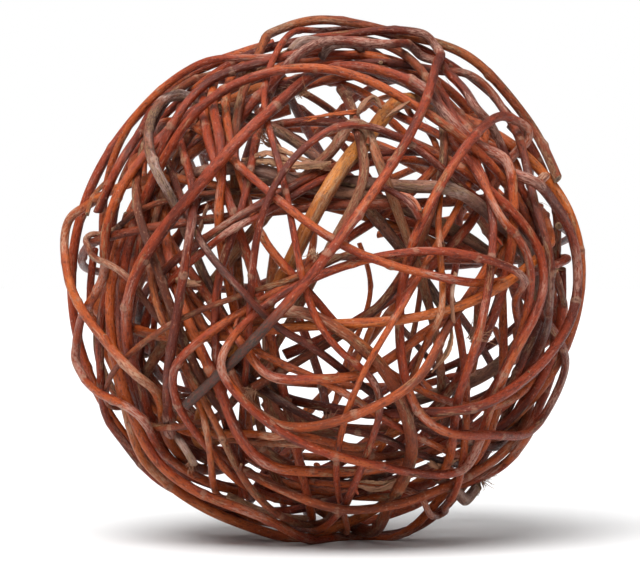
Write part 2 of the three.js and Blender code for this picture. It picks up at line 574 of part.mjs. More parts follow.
const ball = new THREE.Group();
const materials = Object.fromEntries(
  Object.entries(BARKS).map(([name, look]) => [name, new THREE.MeshStandardMaterial({ ...look, name })]));
for (const rod of rods) {
  const mesh = new THREE.Mesh(rodGeometry(rod), materials[rod.bark]);
  mesh.name = `willow_rod_${String(rod.number).padStart(2, '0')}`;
  ball.add(mesh);
}

// The ball is set down with the middle of its outline over the origin.
const box = new THREE.Box3().setFromObject(ball);
ball.position.set(-(box.min.x + box.max.x) / 2, -(box.min.y + box.max.y) / 2, -box.min.z);

const whole = new THREE.Group();
whole.add(ball);

export default whole;
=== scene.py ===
"""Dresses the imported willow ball: round rods with knots, bark and cut ends, twig stubs, torn bark
and fibres, a pale floor, soft light and the photograph's camera."""

import itertools
import json
import math
from typing import NamedTuple

import bpy
import numpy as np
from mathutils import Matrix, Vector


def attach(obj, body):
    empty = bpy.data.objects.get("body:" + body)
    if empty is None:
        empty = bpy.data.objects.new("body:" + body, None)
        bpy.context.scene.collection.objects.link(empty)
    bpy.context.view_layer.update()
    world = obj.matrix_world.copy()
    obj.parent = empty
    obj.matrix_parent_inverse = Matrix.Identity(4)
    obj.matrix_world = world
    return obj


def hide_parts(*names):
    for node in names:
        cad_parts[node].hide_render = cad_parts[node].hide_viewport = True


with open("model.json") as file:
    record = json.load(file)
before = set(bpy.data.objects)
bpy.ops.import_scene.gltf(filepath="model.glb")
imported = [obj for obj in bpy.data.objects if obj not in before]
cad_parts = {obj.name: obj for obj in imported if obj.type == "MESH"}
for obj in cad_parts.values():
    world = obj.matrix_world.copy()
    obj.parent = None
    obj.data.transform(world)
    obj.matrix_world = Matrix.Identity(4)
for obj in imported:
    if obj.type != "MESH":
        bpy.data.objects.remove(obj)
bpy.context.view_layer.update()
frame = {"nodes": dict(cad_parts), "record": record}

MM = 0.001
SEED = 20
TINY = 1e-9
NUDGE = 1e-3  # keeps a line that runs straight outwards from having no direction across it
SAME_PLACE = 4  # decimals of a mm; corners that agree in them are one
WAVE_SPARE = 4  # heights of a wave beyond its line's end
TURN = 2 * math.pi

# The camera, from the photograph: the ball's middle is at this pixel of a 640 x 562 picture.
PHOTO_WIDTH = 640
PHOTO_HEIGHT = 562
BALL_PIXEL = (325, 283)
FOCAL_PIXELS = 2729
SENSOR_MM = 36
BALL_CENTRE = np.array([1.26, 3.85, 100.2])  # mm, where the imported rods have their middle
BALL_RADIUS = 100  # mm
VIEW_DISTANCE = 1066.7  # mm from the ball's middle

# How finely the rods are made.
LINE_STEP = 3.0  # mm between the points of a rod's line
RING_STEP = 1.2  # mm between the rings of a rod's mesh
SIDES = 14

# How the rods are laid on each other.
ROUNDS = 70
LISTED_EVERY = 12  # rounds until the close pairs are looked for again
CELL = 9.0  # mm, of the grid in which they are looked for
MIDDLE_CELL = 64  # of that grid along each side, at the ball's middle
CELL_WEIGHTS = np.array([256**2, 256, 1])  # make one number of a cell's place in that grid
NEIGHBOURS = 6  # points along a rod within which it can't push itself
CLOSE = 1.5  # mm short of touching at which two stretches still count as close
CLEARANCE = 0.05  # mm left between two rods
CROSSING = 0.3  # sine of the angle from which two stretches count as crossing
IN_ORDER = 0.35  # share of their distance by which the outer one lies further out
ORDER_KEPT = 0.75  # share of the rounds in which crossing rods are kept in order
STIFFNESS = 0.5  # share of a kink in what a rod has moved that a round takes out
STIFF_ROUNDS = 0.8  # share of the rounds with that stiffness
LAST_STIFFNESS = 0.15
GROUND_FLAT = 0.85  # mm that a rod is pressed flat where it carries the ball

# A rod's form; heights and depths are shares of its radius.
UNEVEN = ((0.035, 14), (0.03, 5))  # how much thicker or thinner, and over how many mm
FRAYED = 0.3  # how much thicker a worn end is
FADES_OVER = 0.25  # share of its length over which an odd end's look fades out
RIDGES = ((2, 0.035), (3, 0.022), (5, 0.014))  # how many round the rod, and how high
RIDGE_TURN = 2.5  # most radians that they turn round the rod to either side
RIDGE_TURN_SPAN = 40  # mm over which they do
RIDGE_STARTS = (0, 6)  # radians round the rod
RIDGE_CHANGE = 0.4  # share of their height that comes and goes
RIDGE_CHANGE_SPAN = 18  # mm over which it does
KNOT_SPACING = 30  # mm
FIRST_KNOT = (0.3, 1.0)  # share of the spacing from the rod's end to the first one
KNOT_STRAY = (0.6, 1.4)  # share of the spacing from one to the next
LAST_KNOT = 4  # mm at least from the rod's other end
KNOT_SIZES = (0.6, 1.2)  # share of the heights below
KNOT_LENGTH = 1.3  # mm along the rod
KNOT_HEIGHT = 0.08
KNOT_ROUND = 0.35  # how much of a knot's look is there away from its bud
BUD_HEIGHT = 0.26
BUD_AHEAD = 0.8  # mm from a knot's middle to its bud
BUD_FOCUS = 2.2  # the more, the narrower the bud
BUD_TURN = 144  # degrees round the rod from one bud to the next
BUD_STRAY = 15  # degrees that this may be off
CUT_SLANT = 0.5  # most, as the tangent of an angle
CUT_INNER = 0.9  # a ring just inside the cut's rim
CUT_INNER_PROUD = 0.12  # mm
CUT_CORE = 0.25  # the ring round the pith
CUT_CORE_PROUD = 0.1  # mm
CUT_MIDDLE_PROUD = 0.02  # mm
TONES = (0.1, 0.9)  # from dark to warm, of one rod and the next
TONE_CHANGE = 0.25  # along a rod
TONE_CHANGE_SPAN = 45  # mm
BEND_POINTS = 9  # over which a rod's bend is averaged
BENT_FROM = 1 / 45  # bend, as one over a radius in mm, from which bark wears
BENT_MOST = 1 / 16  # and at which it is worn most

# Rods with one end that is dark or worn: over how many mm, and the x and z of that end in mm from
# the ball's middle.
ODD_ENDS = {
    "willow_rod_08": ("dark", 64, (-57, -52)),
    "willow_rod_09": ("worn", 16, (-72, -52)),
}

# Barks that single rods have in place of their part's own bark.
OTHER_BARKS = {
    "willow_rod_10": "weathered",
    "willow_rod_24": "peeled",
    "willow_rod_25": "flaky",
    "willow_rod_26": "flaky",
}
GREY_ROUGHNESS = 2.2  # how many times higher the ridges of grey rods are

WOOD_PALE = (0.42, 0.25, 0.13)
PITH = (0.2, 0.1, 0.05)
KNOT_PALE = (0.34, 0.19, 0.12)
DARK_SKIN = (0.045, 0.027, 0.021)
BARKS = {
    "torn": {
        "main": (0.37, 0.165, 0.095), "warm": (0.47, 0.23, 0.12), "deep": (0.15, 0.052, 0.028),
        "bloom": (0.5, 0.34, 0.26), "roughness": 0.7, "wrinkles": 1.0, "peeling": 0.15,
    },
    "peeled": {
        "main": (0.4, 0.11, 0.018), "warm": (0.5, 0.175, 0.034), "deep": (0.14, 0.024, 0.006),
        "bloom": (0.48, 0.29, 0.18), "roughness": 0.5, "wrinkles": 1.0, "peeling": 0.1,
    },
    "flaky": {
        "main": (0.28, 0.066, 0.03), "warm": (0.36, 0.11, 0.045), "deep": (0.09, 0.018, 0.008),
        "bloom": (0.46, 0.28, 0.19), "roughness": 0.6, "wrinkles": 1.0, "peeling": 0.2,
    },
    "weathered": {
        "main": (0.11, 0.05, 0.038), "warm": (0.22, 0.075, 0.04), "deep": (0.03, 0.01, 0.008),
        "bloom": (0.42, 0.3, 0.26), "roughness": 0.5, "wrinkles": 1.0, "peeling": 0.12,
    },
    "red": {
        "main": (0.25, 0.031, 0.007), "warm": (0.38, 0.07, 0.012), "deep": (0.062, 0.006, 0.001),
        "bloom": (0.44, 0.24, 0.18), "roughness": 0.34, "wrinkles": 0.8, "peeling": 0,
    },
    "orange": {
        "main": (0.33, 0.057, 0.009), "warm": (0.44, 0.1, 0.015), "deep": (0.1, 0.014, 0.002),
        "bloom": (0.47, 0.27, 0.17), "roughness": 0.36, "wrinkles": 0.8, "peeling": 0,
    },
    "dark": {
        "main": (0.105, 0.015, 0.006), "warm": (0.2, 0.034, 0.009), "deep": (0.032, 0.006, 0.002),
        "bloom": (0.32, 0.19, 0.14), "roughness": 0.34, "wrinkles": 0.8, "peeling": 0,
    },
    "brown": {
        "main": (0.2, 0.036, 0.009), "warm": (0.3, 0.072, 0.016), "deep": (0.052, 0.009, 0.002),
        "bloom": (0.38, 0.22, 0.14), "roughness": 0.44, "wrinkles": 1.0, "peeling": 0.08,
    },
    "grey": {
        "main": (0.25, 0.115, 0.08), "warm": (0.32, 0.14, 0.08), "deep": (0.085, 0.03, 0.02),
        "bloom": (0.42, 0.29, 0.24), "roughness": 0.6, "wrinkles": 1.0, "peeling": 0.1,
    },
}
TONE_SHIFT = 0.34  # how far a rod's tone makes it warmer or darker
BARK_SHINE = 0.3
BARK_RELIEF = 0.5  # mm
LOOKS = ("cut", "pith", "knot", "tone", "dark", "worn")  # values that each corner of a mesh has

# Trim. A spot is [x, z, depth] in mm: x and z from the ball's middle as the camera sees it, and
# depth under the ball's outer surface, on the side that faces the camera.
BUTTS = {  # short weathered ends: the thickness in mm, the bark and the spots they run through
    "top": (5.0, "grey", [(-13, 90, 5), (-9, 94, 2), (-4, 94, 3), (0, 91, 9)]),
    "top_right": (3.6, "grey", [(-1, 89, 9), (3, 93, 3), (9, 94, 3), (14, 91, 8)]),
    "right_edge": (2.2, "brown", [(93.5, -9, 3), (92, -2, 1), (90, 5, 1)]),
    "right_knob": (3.4, "orange", [(80, 38, 8), (84, 40, 2), (86, 42, 0)]),
    "lower_right": (4.2, "grey", [(44, -76, 8), (52, -82, 2), (57, -83, 1), (60, -79, 5)]),
    "left_twig": (1.8, "brown", [(-86, 39, 6), (-91, 33, 3), (-93, 27, 2)]),
    "prong": (2.6, "red", [(22, 38, 8), (29, 34, 5), (34, 30, 3), (36.5, 25.5, 3)]),
    "prong_two": (1.7, "red", [(29, 35, 6), (34, 33, 4), (37, 28, 3)]),
    "pale_twig": (1.6, "torn", [(50, -15, 6), (49.5, -7, 4), (50, 0, 3), (51, 4, 3)]),
    "left_strip_end": (2.8, "grey", [(-58, -60, 8), (-54, -66, 3), (-51, -71, 1)]),
    "under_left": (2.6, "torn", [(-38, -83, 6), (-22, -90, 4), (-8, -92, 7)]),
}
STRIPS = {  # torn bark: the width in mm, the bark and the spots it runs through
    "pale": (5.0, "torn", [(-32, 49, 9), (-22, 50, 8), (-9, 48, 8), (3, 47.5, 9)]),
    "pale_under": (3.4, "torn", [(-24, 56, 9), (-14, 51, 10), (2, 44, 11)]),
    "splinter": (2.0, "orange", [(-8, 63.5, 6), (0, 65.5, 6), (12.5, 67, 7)]),
    "curl": (3.0, "torn", [(13, 66, 8), (14.5, 71.5, 5), (19, 73.5, 4), (22, 69, 7)]),
    "flap": (1.8, "torn", [(24, 65.5, 7), (28, 68, 5), (33, 71.5, 3)]),
    "inner_sheet": (11.0, "flaky", [(-21, -43, 20), (-13, -53, 16), (-4, -57, 16), (3, -54, 20)]),
    "tan_left": (3.2, "torn", [(-59, 2, 12), (-54, 1, 11), (-49, 0, 12)]),
    "tan_middle": (2.4, "torn", [(-34, -3, 9), (-30, -5, 8), (-26, -7, 9)]),
    "low_right": (3.6, "torn", [(41, -70, 10), (46, -71, 9), (51, -69, 9)]),
    "low_middle": (4.2, "torn", [(12, -79, 8), (20, -80, 7), (31, -77, 8)]),
    "edge_peel": (1.5, "torn", [(50, -17, 8), (48, -26, 6), (42, -35, 6)]),
    "hook_peel": (2.2, "torn", [(-46, 31, 13), (-49, 22, 12), (-52, 12, 13)]),
}
TUFTS = {  # frayed ends: the spot, the way they point in the picture in degrees, and the length
    "pale": ((-24, 56, 8), 120, 5),
    "top": ((-9, 77, 7), 200, 7),
    "top_low": ((-7, 74, 8), 160, 6),
    "middle": ((-5, 13, 6), 260, 5),
    "low": ((1, -55, 10), 60, 6),
    "right": ((57, -22, 10), 20, 8),
    "low_right": ((61, -76, 3), -50, 6),
    "left": ((-52, -71, 3), 250, 3),
    "knob": ((-29, -42, 7), 230, 4),
}
BUTT_ROUGHNESS = 2.5  # how many times higher the ridges of broken ends are
STRANDS = 3  # of each torn strip
STRIP_SIDES = 7  # points across a strip
STRIP_THICKNESS = 0.4  # mm
STRIP_TONES = (0.2, 0.9)
STRIP_TILT = 0.7  # most that it tilts off the ball's surface, as a slope
STRIP_TILT_SPAN = 9  # mm
STRIP_CURL = 0.55  # how much its edges curl inwards
STRIP_CURL_POWER = 1.5
STRIP_END = 0.25  # share of its width that is left at its very end
STRIP_NARROWS = 3  # mm from its end over which it narrows
RAGGED = 0.3  # share of its width that a strip's edge may be off
TUFT_FIBRES = 24
TUFT_THICKNESS = (0.25, 0.65)  # mm
TUFT_LENGTHS = (0.4, 1.2)  # share of the tuft's length
TUFT_WIDTH = 0.8  # mm, how far the fibres' roots stray
TUFT_SPREAD = 0.45  # how far their directions do
TUFT_FORWARD = 0.2  # how far they lean towards the camera
LOOSE_FIBRES = 240  # tries; those on a rod's end or near the ball's surface are left out
LOOSE_THICKNESS = (0.12, 0.26)  # mm
LOOSE_LENGTHS = (4, 11)  # mm
LOOSE_DEPTH = 6  # mm under the surface, at least
LOOSE_MARGIN = 2  # points at least between a loose fibre and its rod's ends
LOOSE_SCATTER = 40  # mm; the more, the less they point away from the ball's middle
LOOSE_ROOT = 0.95  # of the rod's radius
LOOSE_LIFT = (0.1, 0.7)  # slope at which they leave the rod
LOOSE_CURL = 0.9
FIBRE_SIDES = 3
FIBRE_STEPS = 7
FIBRE_WAVER = 0.05
FIBRE_TIP = 0.35  # thickness of a fibre's tip, as a share of its root's
FIBRE_TONE = 0.6
FIBRE_LOWEST = 0.05  # mm above the ground
TWIG_STUBS = 34
STUB_DEPTH = 12  # mm under the surface, at most
STUB_RISE = (-0.1, 0.5)  # how far a stub leans outwards
STUB_LEAN = (0.5, 1.0)  # how far it leans away from its rod
STUB_LENGTHS = (3, 7)  # mm
STUB_RADII = (0.55, 0.9)  # mm
STUB_ROOT = 1.3  # share of that radius at its root
STUB_TIP = 0.85  # and at its tip
STUB_MARGIN = 4  # points at least between a stub and its rod's ends
STUB_POINTS = (0, 0.4, 0.75, 1)  # shares of its length

FLOOR_REACH = 30.0  # m
FLOOR_COLOR = (0.74, 0.74, 0.74)
FLOOR_ROUGHNESS = 0.9
ROOM_LIGHT = 0.09  # of the room round the ball, beside the white that the camera sees as 1


class Rods(NamedTuple):
    """Points along the lines of all rods, one rod after the other."""

    places: np.ndarray  # mm from the ball's middle
    radii: np.ndarray  # mm
    rod_of: np.ndarray  # the rod that each point belongs to


def unit(vectors):
    """Vectors of length one; a vector of no length stays as it is."""
    length = np.linalg.norm(vectors, axis=-1, keepdims=True)
    return vectors / np.maximum(length, TINY)


def steps_of(line):
    """The distance from each point of a line to the next."""
    return np.linalg.norm(np.diff(line, axis=0), axis=1)


def ways_along(line):
    """The way along a line to each of its points."""
    return np.concatenate([[0], np.cumsum(steps_of(line))])


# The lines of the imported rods


def corners_and_triangles(node):
    """A node's corners without doubles, in mm, and its triangles."""
    mesh = node.data
    places = np.empty(len(mesh.vertices) * 3)
    mesh.vertices.foreach_get("co", places)
    rounded = np.round(places.reshape(-1, 3) / MM, SAME_PLACE)
    corners, which = np.unique(rounded, axis=0, return_inverse=True)
    mesh.calc_loop_triangles()
    triangles = np.empty(len(mesh.loop_triangles) * 3, dtype=np.int32)
    mesh.loop_triangles.foreach_get("vertices", triangles)
    return corners, which.reshape(-1)[triangles].reshape(-1, 3)


def pole_of(corners, triangles):
    """The middle of one of a rod's two end faces: the corner whose faces lie flattest."""
    a, b, c = (corners[triangles[:, side]] for side in range(3))
    normals = unit(np.cross(b - a, c - a))
    flattest, pole = -2, 0
    for corner in range(len(corners)):
        fan = normals[(triangles == corner).any(axis=1)]
        spread = (fan @ fan.T).min()
        if spread > flattest:
            flattest, pole = spread, corner
    return pole


def rod_rings(node):
    """The middles and radii of a packed rod's rings, from one end to the other, in mm."""
    corners, triangles = corners_and_triangles(node)
    beside = {corner: set() for corner in range(len(corners))}
    for a, b, c in triangles:
        beside[a] |= {b, c}
        beside[b] |= {a, c}
        beside[c] |= {a, b}
    level = {pole_of(corners, triangles)}
    seen = set(level)
    middles, radii = [], []
    while level:
        level = set().union(*(beside[corner] for corner in level)) - seen
        seen |= level
        if len(level) < 3:
            break
        ring = corners[sorted(level)]
        middles.append(ring.mean(axis=0))
        radii.append(np.linalg.norm(ring - middles[-1], axis=1).max())
    return np.array(middles), np.array(radii)


def smooth_line(points, values, step):
    """Points every step mm along a smooth bent rod through the given ones, with the values there."""
    chords = steps_of(points)
    knots = ways_along(points)
    count = len(points)
    matrix = np.eye(count)
    right = np.zeros((count, 3))
    for i in range(1, count - 1):
        before, after = chords[i - 1], chords[i]
        matrix[i, i - 1:i + 2] = before, 2 * (before + after), after
        slope_after = (points[i + 1] - points[i]) / after
        slope_before = (points[i] - points[i - 1]) / before
        right[i] = 6 * (slope_after - slope_before)
    bend = np.linalg.solve(matrix, right)
    wanted = np.linspace(0, knots[-1], max(3, int(round(knots[-1] / step)) + 1))
    span = np.clip(np.searchsorted(knots, wanted) - 1, 0, count - 2)
    length = chords[span][:, None]
    left = (knots[span + 1] - wanted)[:, None]
    gone = (wanted - knots[span])[:, None]
    line = (bend[span] * left**3 + bend[span + 1] * gone**3) / (6 * length)
    line += (points[span] / length - bend[span] * length / 6) * left
    line += (points[span + 1] / length - bend[span + 1] * length / 6) * gone
    return line, np.interp(wanted, knots, values)


# Laying the rods on each other


def near_pairs(places, radii, rod_of):
    """Pairs of stretches that are close enough to touch; a stretch runs from a point to the next."""
    first = np.flatnonzero(rod_of[:-1] == rod_of[1:])
    middles = (places[first] + places[first + 1]) / 2
    cells = (np.floor(middles / CELL).astype(np.int64) + MIDDLE_CELL) @ CELL_WEIGHTS
    order = np.argsort(cells, kind="stable")
    ordered = cells[order]
    found = []
    for shift in itertools.product((-1, 0, 1), repeat=3):
        target = cells + np.array(shift) @ CELL_WEIGHTS
        begin = np.searchsorted(ordered, target, "left")
        count = np.searchsorted(ordered, target, "right") - begin
        source = np.repeat(np.arange(len(cells)), count)
        offset = np.arange(count.sum()) - np.repeat(np.cumsum(count) - count, count)
        other = order[np.repeat(begin, count) + offset]
        later = other > source
        found.append(np.stack([source[later], other[later]], axis=1))
    pairs = np.concatenate(found)
    gap = np.linalg.norm(middles[pairs[:, 0]] - middles[pairs[:, 1]], axis=1)
    one, two = first[pairs[:, 0]], first[pairs[:, 1]]
    apart = (rod_of[one] != rod_of[two]) | (two - one > NEIGHBOURS)
    close = apart & (gap < radii[one] + radii[two] + LINE_STEP + CLOSE)
    return one[close], two[close]


def closest_shares(p, q, r, s):
    """The closest spots of the lines p-q and r-s, as shares along each."""
    d1, d2, w = q - p, s - r, p - r
    a = (d1 * d1).sum(1)
    e = (d2 * d2).sum(1)
    b = (d1 * d2).sum(1)
    c = (d1 * w).sum(1)
    f = (d2 * w).sum(1)
    det = np.maximum(a * e - b * b, TINY)
    t = np.clip((b * f - c * e) / det, 0, 1)
    u = np.clip((b * t + f) / e, 0, 1)
    t = np.clip((b * u - c) / a, 0, 1)
    return t, u


def settle(places, radii, rod_of, rounds):
    """Pushes rods off each other until they only touch."""
    start = places.copy()
    inside = rod_of[:-1] == rod_of[1:]
    joined = inside[:-1] & inside[1:]
    lowest = -BALL_CENTRE[2] + radii - GROUND_FLAT
    for turn in range(rounds):
        if turn % LISTED_EVERY == 0:
            one, two = near_pairs(places, radii, rod_of)
            drawn = np.linalg.norm(start[one], axis=1) - np.linalg.norm(start[two], axis=1)
            order = np.where(drawn >= 0, 1.0, -1.0)
        t, u = closest_shares(places[one], places[one + 1], places[two], places[two + 1])
        spot1 = places[one] + (places[one + 1] - places[one]) * t[:, None]
        spot2 = places[two] + (places[two + 1] - places[two]) * u[:, None]
        away = spot1 - spot2
        apart = np.linalg.norm(away, axis=1)
        needed = radii[one] + radii[two] + CLEARANCE
        hit = apart < needed
        a, b = one[hit], two[hit]
        away, apart, needed = away[hit], apart[hit], needed[hit]
        outward = unit(spot1[hit] + spot2[hit])
        along1 = unit(places[a + 1] - places[a])
        along2 = unit(places[b + 1] - places[b])
        crossing = np.linalg.norm(np.cross(along1, along2), axis=1) > CROSSING
        signed = (away * outward).sum(1) * order[hit]
        astray = crossing & (signed < IN_ORDER * apart) & (turn < rounds * ORDER_KEPT)
        direction = np.where(astray[:, None], outward * order[hit][:, None], unit(away))
        push = np.where(astray, np.minimum(needed, needed - signed), needed - apart)
        moved = np.zeros_like(places)
        count = np.zeros(len(places))
        for index, part in ((a, 1 - t[hit]), (a + 1, t[hit])):
            np.add.at(moved, index, direction * (push * part / 2)[:, None])
            np.add.at(count, index, part)
        for index, part in ((b, 1 - u[hit]), (b + 1, u[hit])):
            np.add.at(moved, index, -direction * (push * part / 2)[:, None])
            np.add.at(count, index, part)
        places = places + moved / np.maximum(count, 1)[:, None]
        drift = places - start
        bend = np.zeros_like(drift)
        bend[1:-1][joined] = ((drift[:-2] + drift[2:]) / 2 - drift[1:-1])[joined]
        places = places + bend * (STIFFNESS if turn < rounds * STIFF_ROUNDS else LAST_STIFFNESS)
        places[:, 2] = np.maximum(places[:, 2], lowest)
    return places


def laid_rods(names):
    """The rods of the named nodes, laid on each other."""
    lines, radii = [], []
    for name in names:
        middles, thickness = rod_rings(frame["nodes"][name])
        line, thickness = smooth_line(middles - BALL_CENTRE, thickness, LINE_STEP)
        lines.append(line)
        radii.append(thickness)
    rod_of = np.concatenate([np.full(len(line), i) for i, line in enumerate(lines)])
    radii = np.concatenate(radii)
    return Rods(settle(np.concatenate(lines), radii, rod_of, ROUNDS), radii, rod_of)


# Rods as meshes


def wave(random, way, spacing):
    """A smooth random wave from -1 to 1 along a line, with a new height every spacing mm."""
    place = way / spacing
    heights = random.uniform(-1, 1, int(place[-1]) + WAVE_SPARE)
    left = np.floor(place).astype(int)
    part = place - left
    part = part * part * (3 - 2 * part)
    return heights[left] * (1 - part) + heights[left + 1] * part


def frames_along(line):
    """Directions along a line, and two across it that twist as little as they can."""
    along = unit(np.gradient(line, axis=0))
    across = np.empty_like(line)
    across[0] = unit(np.cross(along[0], unit(line[0]) + NUDGE))
    for i in range(1, len(line)):
        flat = across[i - 1] - along[i] * (across[i - 1] @ along[i])
        across[i] = unit(flat)
    return along, across, np.cross(along, across)


def rings_round(across, side, angle):
    """The directions from each point of a line to the corners of its ring."""
    ring = across[:, None, :] * np.cos(angle)[None, :, None]
    return ring + side[:, None, :] * np.sin(angle)[None, :, None]


def tube_faces(rings, sides, first=0):
    """The faces between a tube's rings; its corners are numbered ring by ring."""
    faces = []
    for k in range(rings - 1):
        a = first + k * sides
        b = a + sides
        for i in range(sides):
            j = (i + 1) % sides
            faces.append((a + i, a + j, b + j, b + i))
    return faces


def bending(along, line):
    """How sharply a rod is bent there, from 0 where it is nearly straight to 1 in a tight bend."""
    turned = np.linalg.norm(np.diff(along, axis=0), axis=1) / steps_of(line)
    turned = np.concatenate([turned[:1], turned])
    turned = np.pad(turned, BEND_POINTS // 2, mode="edge")
    spread = np.convolve(turned, np.ones(BEND_POINTS) / BEND_POINTS, mode="valid")
    return np.clip((spread - BENT_FROM) / (BENT_MOST - BENT_FROM), 0, 1)


def odd_looks(odd_end, line, way):
    """How dark and how worn a rod's one odd end makes it, along its length."""
    looks = {"dark": np.zeros(len(way)), "worn": np.zeros(len(way))}
    if odd_end:
        look, reach, seen_at = odd_end
        start_off, end_off = (np.linalg.norm(line[i, [0, 2]] - seen_at) for i in (0, -1))
        gone = way if start_off < end_off else way[-1] - way
        looks[look] = np.clip((1 - gone / reach) / FADES_OVER, 0, 1)
    return looks["dark"], looks["worn"]


def knots_along(random, length):
    """Where a rod's buds sat: the way along it and the angle round it."""
    ways, angles = [], []
    way = random.uniform(*FIRST_KNOT) * KNOT_SPACING
    angle = random.uniform(0, TURN)
    while way < length - LAST_KNOT:
        ways.append(way)
        angles.append(angle)
        way += KNOT_SPACING * random.uniform(*KNOT_STRAY)
        angle += math.radians(BUD_TURN + random.uniform(-BUD_STRAY, BUD_STRAY))
    return ways, angles


def rod_shape(way, angle, rough, frayed, random):
    """A rod's thickness all round, in shares of its radius, and how much of a knot is there."""
    thick = 1
    for size, spacing in UNEVEN:
        thick = thick + size * wave(random, way, spacing)
    shape = np.repeat((thick + FRAYED * frayed)[:, None], SIDES, axis=1)
    for ridges, height in RIDGES:
        turn = RIDGE_TURN * wave(random, way, RIDGE_TURN_SPAN) + random.uniform(*RIDGE_STARTS)
        change = RIDGE_CHANGE * wave(random, way, RIDGE_CHANGE_SPAN)
        depth = height * rough * (1 - RIDGE_CHANGE + change)
        shape += depth[:, None] * np.cos(ridges * angle[None, :] + turn[:, None])
    knot = np.zeros_like(shape)
    for at, around in zip(*knots_along(random, way[-1])):
        size = random.uniform(*KNOT_SIZES)
        near = np.exp(-((way - at) / KNOT_LENGTH) ** 2)[:, None]
        facing = np.exp((np.cos(angle - around) - 1) * BUD_FOCUS)[None, :]
        bud = np.exp(-((way - at - BUD_AHEAD) / KNOT_LENGTH) ** 2)[:, None]
        shape += near * KNOT_HEIGHT * size + bud * facing * BUD_HEIGHT * size
        knot = np.maximum(knot, near * (KNOT_ROUND + (1 - KNOT_ROUND) * facing) * size)
    return shape, knot


def slanted_end(ring, middle, outward, random):
    """A rod's cut end: its rim, two rings inside that, and the middle of the cut."""
    tilt = unit(random.normal(size=3))
    along = unit(outward)
    normal = unit(outward + CUT_SLANT * (tilt - along * (tilt @ along)))
    lean = ((ring - middle) @ normal) / (along @ normal)
    rim = ring - along[None, :] * lean[:, None]
    inner = middle + (rim - middle) * CUT_INNER + outward * CUT_INNER_PROUD
    core = middle + (rim - middle) * CUT_CORE + outward * CUT_CORE_PROUD
    return rim, inner, core, middle + outward * CUT_MIDDLE_PROUD


def rod_piece(name, line, radii, bark, random, rough=1.0, odd_end=None):
    """One round rod with knots, ridges and two slanting cut ends.

    One end may be dark or worn, as ODD_ENDS says it.
    """
    line, radii = smooth_line(line, radii, RING_STEP)
    way = ways_along(line)
    along, across, side = frames_along(line)
    angle = np.arange(SIDES) / SIDES * TURN
    dark, frayed = odd_looks(odd_end, line, way)
    shape, knot = rod_shape(way, angle, rough, frayed, random)
    reach = shape * radii[:, None]
    skin = line[:, None, :] + rings_round(across, side, angle) * reach[:, :, None]
    rim1, inner1, core1, middle1 = slanted_end(skin[0], line[0], -along[0], random)
    rim2, inner2, core2, middle2 = slanted_end(skin[-1], line[-1], along[-1], random)
    skin[0], skin[-1] = rim1, rim2
    rings = [core1, inner1, *skin, inner2, core2]
    corners = np.concatenate([*rings, [middle1], [middle2]]) + BALL_CENTRE
    corners[:, 2] = np.maximum(corners[:, 2], 0)

    count = len(rings)
    start_middle, end_middle = count * SIDES, count * SIDES + 1
    end_ring = (count - 1) * SIDES
    faces = tube_faces(count, SIDES)
    faces += [(start_middle, (i + 1) % SIDES, i) for i in range(SIDES)]
    faces += [(end_middle, end_ring + i, end_ring + (i + 1) % SIDES) for i in range(SIDES)]

    grain = np.zeros((len(corners), 3))
    radius = np.repeat(np.pad(radii, 2, mode="edge"), SIDES)
    grain[:start_middle, 0] = np.repeat(np.pad(way, 2, mode="edge"), SIDES)
    grain[:start_middle, 1] = radius * np.tile(np.cos(angle), count)
    grain[:start_middle, 2] = radius * np.tile(np.sin(angle), count)

    looks = {label: np.zeros(len(corners)) for label in LOOKS}
    looks["cut"][:2 * SIDES] = looks["cut"][-2 * SIDES - 2:] = 1
    looks["pith"][:SIDES] = looks["pith"][-SIDES - 2:] = 1
    tone = random.uniform(*TONES) + TONE_CHANGE * wave(random, way, TONE_CHANGE_SPAN)
    bark_only = slice(2 * SIDES, -2 * SIDES - 2)
    looks["knot"][bark_only] = knot.reshape(-1)
    looks["tone"][bark_only] = np.repeat(tone, SIDES)
    looks["dark"][bark_only] = np.repeat(dark, SIDES)
    looks["worn"][bark_only] = np.repeat(np.maximum(bending(along, line), frayed), SIDES)
    return barked(name, corners, faces, grain, looks, bark, random)


def barked(name, corners, faces, grain, looks, bark, random):
    """A piece with bark on it. Corners are in mm, and a look that isn't given is 0 all over."""
    mesh = bpy.data.meshes.new(name)
    mesh.from_pydata((corners * MM).tolist(), [], faces)
    mesh.polygons.foreach_set("use_smooth", np.ones(len(mesh.polygons), dtype=bool))
    add_attribute(mesh, "grain", grain + (random.uniform(0, 4000), 0, 0))
    for label in LOOKS:
        add_attribute(mesh, label, looks.get(label, np.zeros(len(corners))))
    mesh.materials.append(barks[bark])
    piece = bpy.data.objects.new(name, mesh)
    bpy.context.scene.collection.objects.link(piece)
    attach(piece, "root")
    return piece


def add_attribute(mesh, label, values):
    """Stores one value or one vector for each corner of a mesh."""
    kind, field = ("FLOAT_VECTOR", "vector") if values.ndim == 2 else ("FLOAT", "value")
    attribute = mesh.attributes.new(label, kind, "POINT")
    attribute.data.foreach_set(field, values.astype(np.float32).reshape(-1))


# Bark


